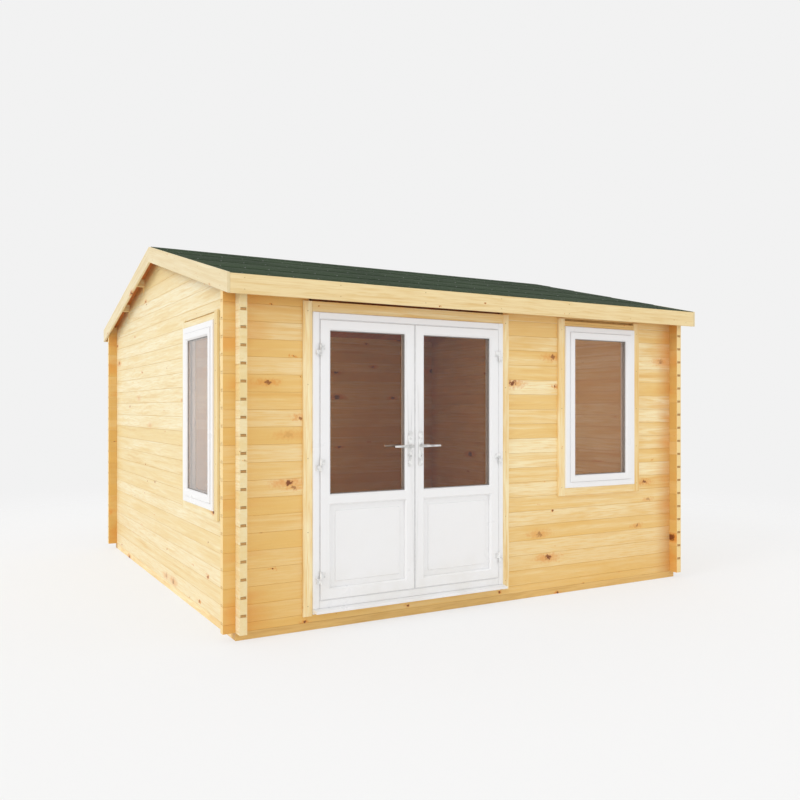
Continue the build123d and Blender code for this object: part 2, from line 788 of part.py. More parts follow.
door_middle = Plane.YZ.offset(door_centre)
for piece_name, piece in (("leaf_frame", leaf_frame), ("leaf_glass", leaf_glass),
                          ("leaf_panel", leaf_panel), ("jamb_hinges", jamb_hinges),
                          ("leaf_hinges", leaf_hinges), ("handle_plates", handle_plates),
                          ("lever", lever)):
    piece.part.label = "left_" + piece_name
    export_step(piece.part, "parts/left_" + piece_name + ".step")
    with BuildPart() as mirrored:
        add(mirror(piece.part, about=door_middle, mode=Mode.PRIVATE))
    mirrored.part.label = "right_" + piece_name
    export_step(mirrored.part, "parts/right_" + piece_name + ".step")
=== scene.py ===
import math
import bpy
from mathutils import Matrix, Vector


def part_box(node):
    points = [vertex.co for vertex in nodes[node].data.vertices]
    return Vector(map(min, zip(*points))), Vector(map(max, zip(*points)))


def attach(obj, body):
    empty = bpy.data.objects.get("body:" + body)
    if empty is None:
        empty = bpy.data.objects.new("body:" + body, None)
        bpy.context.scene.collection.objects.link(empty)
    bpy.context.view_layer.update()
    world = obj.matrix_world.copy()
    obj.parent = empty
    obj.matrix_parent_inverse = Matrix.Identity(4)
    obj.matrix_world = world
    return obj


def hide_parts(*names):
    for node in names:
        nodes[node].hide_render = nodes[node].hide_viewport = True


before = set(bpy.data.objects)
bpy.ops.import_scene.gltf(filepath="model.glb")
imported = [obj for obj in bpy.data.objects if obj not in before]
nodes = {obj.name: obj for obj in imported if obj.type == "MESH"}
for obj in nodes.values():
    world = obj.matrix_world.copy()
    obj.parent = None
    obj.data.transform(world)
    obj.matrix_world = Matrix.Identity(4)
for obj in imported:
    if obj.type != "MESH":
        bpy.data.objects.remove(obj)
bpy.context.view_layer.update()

from types import SimpleNamespace

import bpy
from mathutils import Vector

roofPitch = math.radians(13.76)
slope = math.tan(roofPitch)  # fall of the roof per metre
quarter = math.pi / 2
bpy.ops.object.select_all(action="DESELECT")
bpy.context.scene.view_settings.view_transform = "Standard"
print("frame loaded,", len(nodes), "nodes")


# node tree helpers
def tone(red, green, blue):  # 0-255 screen colour to the shader's linear one
    channels = []
    for value in (red, green, blue):
        share = value / 255
        channels.append(share / 12.92 if share < 0.04045 else ((share + 0.055) / 1.055) ** 2.4)
    return (*channels, 1.0)


def newFinish(name):
    finish = bpy.data.materials.new(name)
    finish.use_nodes = True
    return finish, finish.node_tree, finish.node_tree.nodes["Principled BSDF"]


def put(tree, kind, **settings):
    node = tree.nodes.new(kind)
    for key, value in settings.items():
        setattr(node, key, value)
    return node


def feed(tree, socket, value):
    if isinstance(value, bpy.types.NodeSocket):
        tree.links.new(value, socket)
    else:
        socket.default_value = value


def calc(tree, operation, *values):
    node = put(tree, "ShaderNodeMath", operation=operation)
    for index, value in enumerate(values):
        feed(tree, node.inputs[index], value)
    return node.outputs[0]


def plus(tree, first, second):
    return calc(tree, "ADD", first, second)


def minus(tree, first, second):
    return calc(tree, "SUBTRACT", first, second)


def times(tree, first, second):
    return calc(tree, "MULTIPLY", first, second)


def absolute(tree, value):
    return calc(tree, "ABSOLUTE", value)


def distance(tree, first, second):
    squares = [calc(tree, "POWER", value, 2.0) for value in (first, second)]
    return calc(tree, "SQRT", plus(tree, *squares))


def fade(tree, value, low, high, start=0.0, end=1.0):
    node = put(tree, "ShaderNodeMapRange", interpolation_type="SMOOTHSTEP")
    for index, entry in enumerate((value, low, high, start, end)):
        feed(tree, node.inputs[index], entry)
    return node.outputs[0]


def mixColour(tree, factor, first, second):
    node = put(tree, "ShaderNodeMix", data_type="RGBA")
    for index, entry in ((0, factor), (6, first), (7, second)):
        feed(tree, node.inputs[index], entry)
    return node.outputs[2]


def mixShader(tree, factor, first, second):
    node = put(tree, "ShaderNodeMixShader")
    feed(tree, node.inputs[0], factor)
    tree.links.new(first.outputs[0], node.inputs[1])
    tree.links.new(second.outputs[0], node.inputs[2])
    return node


def objectPlace(tree):
    return put(tree, "ShaderNodeTexCoord").outputs["Object"]


def vector(tree, x, y, z):
    node = put(tree, "ShaderNodeCombineXYZ")
    for index, value in enumerate((x, y, z)):
        feed(tree, node.inputs[index], value)
    return node.outputs[0]


def parts(tree, socket):
    node = put(tree, "ShaderNodeSeparateXYZ")
    tree.links.new(socket, node.inputs[0])
    return node.outputs[0], node.outputs[1], node.outputs[2]


def stretched(tree, place, stretch, shift=0.0):  # each axis scaled on its own, the last one shifted too
    first, second, third = zip(place, stretch)
    return vector(tree, times(tree, *first), times(tree, *second), calc(tree, "MULTIPLY_ADD", *third, shift))


def cloud(tree, place, scale, detail):
    node = put(tree, "ShaderNodeTexNoise")
    feed(tree, node.inputs["Vector"], place)
    node.inputs["Scale"].default_value = scale
    node.inputs["Detail"].default_value = detail
    node.inputs["Roughness"].default_value = 0.55
    return node.outputs[0]


def relief(tree, shader, height, strength, depth):
    node = put(tree, "ShaderNodeBump")
    node.inputs["Strength"].default_value = strength
    node.inputs["Distance"].default_value = depth
    tree.links.new(height, node.inputs["Height"])
    tree.links.new(node.outputs[0], shader.inputs["Normal"])


def seenRays(tree):  # 1 for what is seen straight, in a mirror or through glass
    rays = put(tree, "ShaderNodeLightPath")
    mirror = calc(tree, "MAXIMUM", rays.outputs["Is Camera Ray"], rays.outputs["Is Glossy Ray"])
    return calc(tree, "MAXIMUM", mirror, rays.outputs["Is Transmission Ray"])


# pine: growth rings, fibre, knots and a tone of its own for every log or board
pine = {
    "light": (254, 240, 196),
    "honey": (241, 203, 128),
    "amber": (224, 166, 84),
    "gold": (232, 184, 96),
    "flame": (226, 142, 44),
    "knot": (116, 52, 10),
    "corner": (222, 178, 98),
    "shade": (186, 110, 46),
    "ends": (248, 220, 158),
}
# soffitPine: the roof boards darker and redder, painted shade of the eaves and the overhang
soffitPine = {"light": (222, 136, 62), "honey": (200, 114, 46), "amber": (166, 88, 32)}
# groundPine: the bearers darker, painted shade at the foot of the walls
groundPine = {"light": (234, 194, 120), "honey": (216, 172, 96), "amber": (190, 138, 68)}
sunlitPine = {"light": (248, 239, 205), "honey": (238, 214, 155), "amber": (221, 179, 108)}
# grooveShadePine: darker pine for the tongue ends on the side stubs, painted shade of the groove round each tongue
grooveShadePine = {"light": (204, 158, 94), "honey": (188, 140, 78), "amber": (166, 116, 60)}
planedPine = {"light": (244, 222, 170), "honey": (230, 198, 134), "amber": (212, 164, 94)}
paledPine = {"light": (242, 230, 194), "honey": (229, 209, 163), "amber": (208, 178, 122)}

# pairs are for the dark core of a knot and the flame of resin round it
strayKnot = {"cell": 0.36, "scatter": 0.6, "rowStep": 5.37, "size": 0.036, "luck": (0.6, 1.0, 0.02, 1.0),
             "ragged": 55.0, "squeeze": (0.75, 0.36), "shake": (0.03, 0.045), "edges": ((0.85, 0.5), (1.7, 0.3))}
placedKnot = {"squeeze": (0.7, 0.3), "shake": (0.055, 0.06), "edges": ((0.85, 0.4), (1.9, 0.3)), "flame": (0.3, 0.5)}
grain = {"logShift": 17.0, "ringsPerMetre": 150.0, "pith": (-0.06, -0.02), "pithRise": 0.09, "knotBend": 0.012,
         "sway": (1.1, 7.0, 7.0), "swayReach": 0.05, "band": (1.5, 12.0, 34.0), "bandShift": 40.0,
         "streak": (6.0, 40.0, 95.0), "streakShift": 30.0, "fibre": (9.0, 260.0, 260.0)}
# ranges: where a stain or a painted shade starts and ends, and its share there if not 0 and 1; log: by the log's own
# random share
stainAndShade = {
    "logWarmth": 0.55, "warmth": (0.2, 0.8), "streak": (0.42, 0.74, 0.0, 0.75),
    "band": (0.52, 0.8), "logBand": (0.3, 1.0, 0.15, 0.75), "ring": 0.14, "fibre": (0.45, 0.8, 0.0, 0.25),
    "patchStretch": (1.6, 1.0, 5.0), "patch": (0.46, 0.74, 0.0, 0.5), "seamStart": 0.0045, "seamEnd": 0.0005,
    # painted shade: ground, leftEnd, rightEnd, stub, logStub, blot and eaves darken the wood near the ground, by the
    # corners and under the roof; blot is partly stain
    "ground": (0.95, 0.15), "leftEnd": (-0.9, -1.7, 0.0, 0.55), "rightEnd": (1.53, 1.69, 0.0, 0.38),
    "stub": (1.68, 1.76), "logStub": (0.1, 0.9, 0.5, 1.4), "blotReach": (1.46, 1.72), "blotPatch": (0.48, 0.68),
    "blot": 0.42, "halo": 0.8, "core": 0.92, "eaves": (2.39, 2.45), "endGrain": (0.8, 0.95), "cutStub": 0.85,
    "cut": 0.5, "gloss": (0.2, 0.8, 0.42, 0.6), "rise": {"ring": 0.35, "fibre": 0.65, "knot": 0.6},
}


def logPlace(tree, coords, run, pitch, base, middle, splits, seed, turned):
    x, y, z = parts(tree, coords.outputs["Object"])
    nx, ny, nz = parts(tree, coords.outputs["Normal"])
    sloped = plus(tree, z, times(tree, absolute(tree, y), slope))
    runs = {"x": (x, y, z, nx), "y": (y, x, z, ny), "z": (z, y, x, nz), "zSide": (z, x, y, nz),
            "slope": (y, x, sloped, ny), "plank": (y, sloped, x, ny), "deck": (x, z, y, nx)}
    lengthwise, across, up, facing = runs[run]
    along = lengthwise
    if turned:  # boards between the two posts of a trim lie across
        centre, half = turned
        flat = calc(tree, "LESS_THAN", absolute(tree, minus(tree, up, centre)), half)
        swap = minus(tree, up, along)
        along, up = (calc(tree, "MULTIPLY_ADD", flat, swap, along),
                     calc(tree, "MULTIPLY_ADD", flat, times(tree, swap, -1.0), up))
    course = calc(tree, "DIVIDE", minus(tree, up, base), pitch)
    index = calc(tree, "FLOOR", course)
    local = times(tree, minus(tree, minus(tree, course, index), 0.5), pitch)
    side = calc(tree, "SIGN", across)
    for place, foot, head, step in splits:  # a log stops at an opening and another one goes on behind it
        beside = times(tree, calc(tree, "GREATER_THAN", z, foot), calc(tree, "LESS_THAN", z, head))
        past = times(tree, calc(tree, "GREATER_THAN", along, place), beside)
        side = calc(tree, "MULTIPLY_ADD", past, step, side)
    chance = put(tree, "ShaderNodeTexWhiteNoise", noise_dimensions="3D")
    feed(tree, chance.inputs["Vector"], vector(tree, index, side, seed + 0.5))
    shares = parts(tree, chance.outputs["Color"])
    depth = minus(tree, absolute(tree, across), middle)
    moved = calc(tree, "MULTIPLY_ADD", shares[0], grain["logShift"], along)
    return SimpleNamespace(lengthwise=lengthwise, up=up, z=z, sloped=sloped, facing=facing, index=index, local=local,
                           side=side, shares=shares, depth=depth, moved=moved)


def knotSpot(tree, du, dv, ragged, shape, edges, strengths):  # ragged, and longer along the grain
    fields = []
    for squeeze, shake, (outer, inner), strength in zip(shape["squeeze"], shape["shake"], edges, strengths):
        plain = distance(tree, times(tree, du, squeeze), dv)
        reach = calc(tree, "MULTIPLY_ADD", minus(tree, ragged, 0.5), shake, plain)
        fields.append(fade(tree, reach, outer, inner, 0.0, strength))
    return fields


def knotFields(tree, log, pitch, base, knots, marks):
    cell = strayKnot["cell"]  # about two cells in five have a knot
    u = calc(tree, "DIVIDE", log.moved, cell)
    row = times(tree, plus(tree, log.index, log.side), strayKnot["rowStep"])
    v = plus(tree, calc(tree, "DIVIDE", log.local, cell), row)
    spots = put(tree, "ShaderNodeTexVoronoi", voronoi_dimensions="2D")
    feed(tree, spots.inputs["Vector"], vector(tree, u, v, 0.0))
    spots.inputs["Scale"].default_value = 1.0
    spots.inputs["Randomness"].default_value = strayKnot["scatter"]
    spotU, spotV = parts(tree, spots.outputs["Position"])[:2]
    du = times(tree, minus(tree, u, spotU), cell)
    dv = times(tree, minus(tree, v, spotV), cell)
    luck = parts(tree, spots.outputs["Color"])[0]
    size = times(tree, fade(tree, luck, *strayKnot["luck"]), strayKnot["size"] * knots)
    ragged = cloud(tree, vector(tree, log.moved, log.depth, log.local), strayKnot["ragged"], 3.0)
    edges = [[times(tree, size, share) for share in pair] for pair in strayKnot["edges"]]
    fields = knotSpot(tree, du, dv, ragged, strayKnot, edges, (1.0, 1.0))
    faint, deep = placedKnot["flame"]
    for place, level, girth, dark in marks:  # the larger knots have their own places
        du, dv = minus(tree, log.lengthwise, place), minus(tree, log.up, level)
        inLog = calc(tree, "COMPARE", log.index, math.floor((level - base) / pitch), 0.1)
        edges = [[girth * share for share in pair] for pair in placedKnot["edges"]]
        placed = knotSpot(tree, du, dv, ragged, placedKnot, edges, (dark, faint + deep * dark))
        fields = [calc(tree, "MAXIMUM", field, times(tree, inLog, spot)) for field, spot in zip(fields, placed)]
    return fields


def grainFields(tree, log, halo):  # growth rings round a pith inside the log, bent by the knots
    first, second, third = log.shares
    place = log.moved, log.depth, log.local
    inner = minus(tree, log.depth, calc(tree, "MULTIPLY_ADD", second, *grain["pith"]))
    lift = minus(tree, log.local, times(tree, minus(tree, third, 0.5), grain["pithRise"]))
    sway = times(tree, cloud(tree, stretched(tree, place, grain["sway"]), 1.0, 2.0), grain["swayReach"])
    bent = plus(tree, plus(tree, distance(tree, inner, lift), sway), times(tree, halo, grain["knotBend"]))
    ring = calc(tree, "SINE", times(tree, bent, math.tau * grain["ringsPerMetre"]))
    bandPlace = stretched(tree, place, grain["band"], times(tree, first, grain["bandShift"]))
    streakPlace = stretched(tree, place, grain["streak"], times(tree, second, grain["streakShift"]))
    return (calc(tree, "MULTIPLY_ADD", ring, 0.5, 0.5), cloud(tree, bandPlace, 1.0, 4.0),
            cloud(tree, streakPlace, 1.0, 3.0), cloud(tree, stretched(tree, place, grain["fibre"]), 1.0, 2.0))


def pineFinish(name, run, pitch, base, middle=0.0, splits=(), seed=0.0, seam=0.0, knots=1.0, turned=None,
               colours=pine, stub=0.0, seamTone="corner", eaves=0.0, ground=0.0, marks=()):
    finish, tree, shader = newFinish(name)
    coords = put(tree, "ShaderNodeTexCoord")
    log = logPlace(tree, coords, run, pitch, base, middle, splits, seed, turned)
    core, halo = knotFields(tree, log, pitch, base, knots, marks)
    ring, band, streak, fibre = grainFields(tree, log, halo)
    second, third = log.shares[1:]
    patch = cloud(tree, stretched(tree, (log.lengthwise, log.depth, log.up), stainAndShade["patchStretch"]), 1.0, 3.0)
    tones = {key: tone(*colour) for key, colour in {**pine, **colours}.items()}

    # layers of colour over the light wood, each with its share
    warmth = calc(tree, "MULTIPLY_ADD", minus(tree, second, 0.5), stainAndShade["logWarmth"], band)
    banded = times(tree, fade(tree, band, *stainAndShade["band"]), fade(tree, third, *stainAndShade["logBand"]))
    layers = [(fade(tree, warmth, *stainAndShade["warmth"]), "honey"), (fade(tree, streak, *stainAndShade["streak"]), "honey"),
              (banded, "amber"), (times(tree, ring, stainAndShade["ring"]), "amber")]
    if colours is pine:  # stain taken up in patches
        layers.append((fade(tree, patch, *stainAndShade["patch"]), "gold"))
    layers.append((fade(tree, fibre, *stainAndShade["fibre"]), "honey"))
    if seam:  # stain gathers in the joint between courses
        edge = fade(tree, absolute(tree, log.local), pitch / 2 - stainAndShade["seamStart"], pitch / 2 - stainAndShade["seamEnd"])
        layers.append((times(tree, edge, seam), seamTone))
    if ground:  # painted shade: the wood darker gold towards the ground
        layers.append((fade(tree, log.z, *stainAndShade["ground"], 0.0, ground), "gold"))
    if stub:  # painted shade by the corners: darker gold at the left end, brown at the right end, the corner tone on the stubs, and brown patches that are partly stain
        reach = absolute(tree, log.lengthwise)
        cornerShade = times(tree, fade(tree, reach, *stainAndShade["stub"], 0.0, stub), fade(tree, third, *stainAndShade["logStub"]))
        blot = times(tree, fade(tree, reach, *stainAndShade["blotReach"]), fade(tree, patch, *stainAndShade["blotPatch"]))
        layers += [(fade(tree, log.lengthwise, *stainAndShade["leftEnd"]), "gold"),
                   (fade(tree, log.lengthwise, *stainAndShade["rightEnd"]), "shade"),
                   (cornerShade, "corner"), (times(tree, blot, stainAndShade["blot"]), "flame")]
    layers += [(times(tree, halo, stainAndShade["halo"]), "flame"), (times(tree, core, stainAndShade["core"]), "knot")]
    if eaves:  # painted shade of the roof: the wood darker brown at the top of the walls and gables
        layers.append((fade(tree, log.sloped, *stainAndShade["eaves"], 0.0, eaves), "shade"))
    cut = stainAndShade["cutStub"] if stub else stainAndShade["cut"]  # end grain has a tone of its own
    endGrain = fade(tree, absolute(tree, log.facing), *stainAndShade["endGrain"], 0.0, cut)
    layers.append((endGrain, "ends" if stub else "honey"))
    body = tones["light"]
    for share, key in layers:
        body = mixColour(tree, share, body, tones[key])
    feed(tree, shader.inputs["Base Color"], body)
    feed(tree, shader.inputs["Roughness"], fade(tree, fibre, *stainAndShade["gloss"]))
    shader.inputs["Specular IOR Level"].default_value = 0.5
    rise = stainAndShade["rise"]
    height = plus(tree, times(tree, ring, rise["ring"]), times(tree, fibre, rise["fibre"]))
    relief(tree, shader, calc(tree, "MULTIPLY_ADD", core, rise["knot"], height), 0.3, 0.0012)
    return finish


# wall logs: 100 mm courses, front and back half a course above the side ones
logCourse = {"pitch": 0.1, "front": 0.095, "side": 0.045, "middle": 1.728, "end": 1.822, "count": 19}
frontLogs = {"run": "x", "pitch": logCourse["pitch"], "base": logCourse["front"], "middle": logCourse["middle"]}
sideLogs = {"run": "y", "pitch": logCourse["pitch"], "base": logCourse["side"], "middle": logCourse["middle"]}
doorway, frontWindow, sideWindow = (-0.6, 0.69), (0.973, 0.3335), (-1.07, 0.3335)  # middle and half width
frontSplits = ((doorway[0], 0.095, 1.9, 3.0), (frontWindow[0], 0.695, 1.9, 7.0))  # place, foot, head, step
leftSplits = ((sideWindow[0], 0.645, 1.845, 3.0),)
ridgeSplit = ((0.0, 0.0, 3.0, 3.0),)
frontKnots = (  # along, up, girth, darkness
    (0.19, 1.472, 0.026, 1.0), (0.54, 1.657, 0.022, 0.75), (1.433, 0.745, 0.019, 0.9), (1.475, 0.612, 0.014, 0.4),
    (0.42, 0.43, 0.024, 0.5), (0.50, 0.262, 0.025, 0.95), (1.356, 0.42, 0.015, 0.55), (1.612, 1.655, 0.024, 0.5),
    (-1.433, 0.872, 0.024, 1.0), (-1.402, 0.842, 0.013, 0.6), (-1.558, 1.452, 0.017, 0.8),
    (-1.36, 1.249, 0.014, 0.7), (-1.433, 1.147, 0.022, 0.15))
leftKnots = ((-0.371, 0.078, 0.027, 0.6), (-0.17, 0.08, 0.019, 0.5), (1.589, 1.71, 0.021, 0.8),
             (0.352, 1.17, 0.018, 0.15), (0.753, 1.384, 0.018, 0.15))
# roof and floor boards, for their finishes here and their pieces below
roofBoard = {"count": 40, "thick": 0.018, "gap": 0.0006, "ridgeGap": 0.0002, "vee": 0.004, "half": 1.822}
floorBoard = {"count": 31, "gap": 0.0008, "vee": 0.0015, "half": 1.705, "middle": 0.054}

trimPine = {"pitch": 0.4, "middle": 1.75, "knots": 0.5}
frontPine = pineFinish("frontPine", **frontLogs, splits=frontSplits, seed=1.0, seam=0.35, knots=0.28, stub=0.35,
                       ground=0.5, marks=frontKnots)
backPine = pineFinish("backPine", **frontLogs, seed=2.0, seam=0.35, stub=0.5, ground=0.5)
leftPine = pineFinish("leftPine", **sideLogs, splits=leftSplits, seed=3.0, seam=0.35, knots=0.4,
                      colours=sunlitPine, eaves=0.6, ground=0.15, marks=leftKnots)
rightPine = pineFinish("rightPine", **sideLogs, seed=4.0, seam=0.3, stub=0.75, seamTone="shade", eaves=0.6, ground=0.4)
# the bearers in the darker ground pine, painted shade at the foot of the walls
basePine = pineFinish("basePine", "x", 0.05, 0.0, 1.72, seed=5.0, knots=0.4, colours=groundPine)
joistPine = pineFinish("joistPine", "y", 0.05, 0.0, seed=6.0)
purlinPine = pineFinish("purlinPine", "x", 0.6, 0.0, seed=7.0)
fasciaPine = pineFinish("fasciaPine", "x", 0.3, 1.85, 1.871, seed=8.0, knots=0.5, colours=planedPine)
bargePine = pineFinish("bargePine", "slope", 0.3, 2.35, 1.83, ridgeSplit, seed=9.0, knots=0.5, colours=paledPine)
# roof boards in the darker soffit pine, painted shade under the roof
boardPine = pineFinish("boardPine", "plank", 2 * roofBoard["half"] / roofBoard["count"], -roofBoard["half"],
                       seed=10.0, seam=0.5, colours=soffitPine, seamTone="shade")
floorPine = pineFinish("floorPine", "deck", 2 * floorBoard["half"] / floorBoard["count"], -floorBoard["half"],
                       floorBoard["middle"], seed=11.0, seam=0.5, seamTone="shade")
doorTrimPine = pineFinish("doorTrimPine", "z", base=-1.5, **trimPine, seed=12.0, turned=doorway)
frontTrimPine = pineFinish("frontTrimPine", "z", base=0.573, **trimPine, seed=13.0, turned=frontWindow)
sideTrimPine = pineFinish("sideTrimPine", "zSide", base=-1.47, **trimPine, seed=14.0, turned=sideWindow,
                          colours=sunlitPine)
tonguePineX = pineFinish("tonguePineX", **frontLogs, seed=15.0, knots=0.0, colours=planedPine)
# the side tongue ends take the darker pine, painted shade of their grooves
tonguePineY = pineFinish("tonguePineY", **sideLogs, seed=16.0, knots=0.0, colours=grooveShadePine)
print("pine finishes ready")


# white plastic: faint mottling, a little dust low down
plastic = {"white": (244, 244, 245), "dust": (226, 222, 212), "roughness": (0.26, 0.4), "mottle": 0.12,
           "dustHeight": (0.42, 0.1), "dustShare": 0.45}


def plasticFinish(name):
    finish, tree, shader = newFinish(name)
    place = objectPlace(tree)
    mottle = cloud(tree, place, 5.0, 4.0)
    skin = cloud(tree, place, 900.0, 2.0)
    dusty = times(tree, fade(tree, parts(tree, place)[2], *plastic["dustHeight"]), fade(tree, mottle, 0.3, 0.75))
    dust = tone(*plastic["dust"])
    body = mixColour(tree, times(tree, mottle, plastic["mottle"]), tone(*plastic["white"]), dust)
    body = mixColour(tree, times(tree, dusty, plastic["dustShare"]), body, dust)
    feed(tree, shader.inputs["Base Color"], body)
    feed(tree, shader.inputs["Roughness"], fade(tree, mottle, 0.25, 0.75, *plastic["roughness"]))
    relief(tree, shader, skin, 0.05, 0.0004)
    return finish


# felt: mineral grit on a green sheet, each sheet a little different, bitumen and painted shade under the laps
felt = {"green": (60, 75, 55), "dark": (46, 59, 43), "grit": (84, 97, 75), "lapped": (30, 40, 29), "grain": 420.0,
        "sheet": 0.4698, "lap": 0.075, "cap": 0.22, "gloom": 0.6, "lapLine": (0.024, 0.006), "capLine": (0.012, 0.003)}


def feltFinish(name):
    finish, tree, shader = newFinish(name)
    place = objectPlace(tree)
    x, y, z = parts(tree, place)
    fall = absolute(tree, y)
    rows = calc(tree, "DIVIDE", minus(tree, fall, felt["lap"]), felt["sheet"])
    sheet = calc(tree, "FLOOR", rows)
    chance = put(tree, "ShaderNodeTexWhiteNoise", noise_dimensions="1D")
    feed(tree, chance.inputs["W"], calc(tree, "MULTIPLY_ADD", calc(tree, "SIGN", y), 9.0, sheet))
    capLine = [felt["cap"] + reach for reach in felt["capLine"]]
    # painted shade and bitumen: darker just below the edge of each lap and of the ridge cap
    underLap = fade(tree, minus(tree, rows, sheet), *felt["lapLine"], 0.0, felt["gloom"])
    underCap = fade(tree, fall, *capLine, 0.0, felt["gloom"])
    beyondCap = calc(tree, "GREATER_THAN", fall, felt["cap"])
    gloom = times(tree, beyondCap, calc(tree, "MAXIMUM", underLap, underCap))
    grit = put(tree, "ShaderNodeTexVoronoi")
    feed(tree, grit.inputs["Vector"], place)
    grit.inputs["Scale"].default_value = felt["grain"]
    shine = parts(tree, grit.outputs["Color"])[0]
    patch = cloud(tree, vector(tree, times(tree, x, 2.2), y, z), 1.6, 5.0)
    worn = calc(tree, "MULTIPLY_ADD", chance.outputs["Value"], 0.35, fade(tree, patch, 0.3, 0.7, 0.0, 0.7))
    body = mixColour(tree, worn, tone(*felt["green"]), tone(*felt["dark"]))
    body = mixColour(tree, fade(tree, shine, 0.7, 1.0, 0.0, 0.6), body, tone(*felt["grit"]))
    body = mixColour(tree, gloom, body, tone(*felt["lapped"]))
    feed(tree, shader.inputs["Base Color"], body)
    feed(tree, shader.inputs["Roughness"], fade(tree, shine, 0.0, 1.0, 0.98, 0.8))
    shader.inputs["Specular IOR Level"].default_value = 0.08
    relief(tree, shader, grit.outputs["Distance"], 0.5, 0.0012)
    return finish


# metal: fine brushing along one direction, duller in worn patches
metal = {"dull": 0.82, "worn": (0.35, 0.75), "brushedRough": 0.16, "wornRough": 0.1}


def metalFinish(name, colour, roughness, stretch, metallic=1.0):
    finish, tree, shader = newFinish(name)
    place = objectPlace(tree)
    brushed = cloud(tree, stretched(tree, parts(tree, place), stretch), 1.0, 2.0)
    worn = cloud(tree, place, 38.0, 3.0)
    dull = tone(*(channel * metal["dull"] for channel in colour))
    rough = calc(tree, "MULTIPLY_ADD", worn, metal["wornRough"], roughness)
    feed(tree, shader.inputs["Base Color"], mixColour(tree, fade(tree, worn, *metal["worn"]), tone(*colour), dull))
    feed(tree, shader.inputs["Roughness"], calc(tree, "MULTIPLY_ADD", brushed, metal["brushedRough"], rough))
    shader.inputs["Metallic"].default_value = metallic
    relief(tree, shader, brushed, 0.08, 0.0003)
    return finish


# rubber and foam with a paler or darker bloom
def rubberFinish(name, colour, bloomed):
    finish, tree, shader = newFinish(name)
    bloom = cloud(tree, objectPlace(tree), 30.0, 4.0)
    body = mixColour(tree, fade(tree, bloom, 0.35, 0.8), tone(*colour), tone(*bloomed))
    feed(tree, shader.inputs["Base Color"], body)
    feed(tree, shader.inputs["Roughness"], fade(tree, bloom, 0.2, 0.8, 0.62, 0.85))
    relief(tree, shader, bloom, 0.1, 0.0005)
    return finish


# glass: clear unit with a mirror that grows towards grazing view, and faint water marks
glazing = {"tint": (237, 231, 226), "mirror": 0.036, "power": 3.3, "grazing": 0.98,
           "clean": (252, 252, 252), "marked": (238, 240, 240)}


def glassFinish(name):
    finish, tree, shader = newFinish(name)
    marks = cloud(tree, objectPlace(tree), 3.0, 5.0)
    body = mixColour(tree, marks, tone(*glazing["clean"]), tone(*glazing["marked"]))
    shader.inputs["Metallic"].default_value = 1.0
    feed(tree, shader.inputs["Base Color"], body)
    feed(tree, shader.inputs["Roughness"], fade(tree, marks, 0.4, 0.8, 0.015, 0.06))
    clear = put(tree, "ShaderNodeBsdfTransparent")
    clear.inputs["Color"].default_value = tone(*glazing["tint"])
    tilt = put(tree, "ShaderNodeLayerWeight")
    tilt.inputs["Blend"].default_value = 0.5
    steep = calc(tree, "POWER", tilt.outputs["Facing"], glazing["power"])
    share = calc(tree, "MULTIPLY_ADD", steep, glazing["grazing"], glazing["mirror"])
    pane = mixShader(tree, share, clear, shader)
    tree.links.new(pane.outputs[0], tree.nodes["Material Output"].inputs["Surface"])
    return finish


whitePlastic = plasticFinish("whitePlastic")
greenFelt = feltFinish("greenFelt")
satinSteel = metalFinish("satinSteel", (232, 231, 229), 0.24, (60.0, 900.0, 900.0))
plateSteel = metalFinish("plateSteel", (248, 248, 247), 0.42, (900.0, 900.0, 60.0), 0.35)
hingeWhite = metalFinish("hingeWhite", (242, 242, 241), 0.3, (400.0, 400.0, 400.0), 0.0)
stainedNail = metalFinish("stainedNail", (208, 182, 130), 0.5, (300.0, 300.0, 300.0), 0.3)
nailZinc = metalFinish("nailZinc", (150, 152, 150), 0.45, (300.0, 300.0, 300.0))
sealRubber = rubberFinish("sealRubber", (150, 148, 147), (170, 168, 166))
keySlot = rubberFinish("keySlot", (62, 60, 60), (84, 82, 80))
paleRubber = rubberFinish("paleRubber", (226, 226, 227), (214, 214, 213))
# the dark brown of the foam over the door is painted shade of its slot
shadeBrownFoam = rubberFinish("shadeBrownFoam", (104, 56, 26), (132, 76, 38))
tanFoam = rubberFinish("tanFoam", (206, 168, 104), (190, 150, 90))
clearGlass = glassFinish("clearGlass")

finishOf = {
    frontPine: ["front_bottom_log", "front_wall_left_of_door", "front_wall_right_of_door", "front_wall_top"],
    backPine: ["back_wall"],
    leftPine: ["left_wall", "left_gable"],
    rightPine: ["right_wall", "right_gable"],
    basePine: ["bearers"],
    joistPine: ["joists"],
    purlinPine: ["purlins"],
    fasciaPine: ["fascias"],
    bargePine: ["left_barges", "right_barges"],
    boardPine: ["roof_deck"],
    floorPine: ["floor"],
    doorTrimPine: ["door_trim"],
    frontTrimPine: ["front_window_trim"],
    sideTrimPine: ["left_window_trim"],
    whitePlastic: ["left_door_jamb", "right_door_jamb", "door_head", "door_threshold", "door_cill",
                   "front_window_frame", "front_window_sash", "left_window_frame", "left_window_sash",
                   "left_leaf_frame", "right_leaf_frame", "left_leaf_panel", "right_leaf_panel"],
    clearGlass: ["front_window_glass", "left_window_glass", "left_leaf_glass", "right_leaf_glass"],
    greenFelt: ["roof_felt"],
    hingeWhite: ["left_jamb_hinges", "right_jamb_hinges", "left_leaf_hinges", "right_leaf_hinges"],
    plateSteel: ["left_handle_plates", "right_handle_plates"],
    satinSteel: ["left_lever", "right_lever"],
}
for finish, names in finishOf.items():
    for name in names:
        for materialSlot in nodes[name].material_slots:
            materialSlot.material = finish

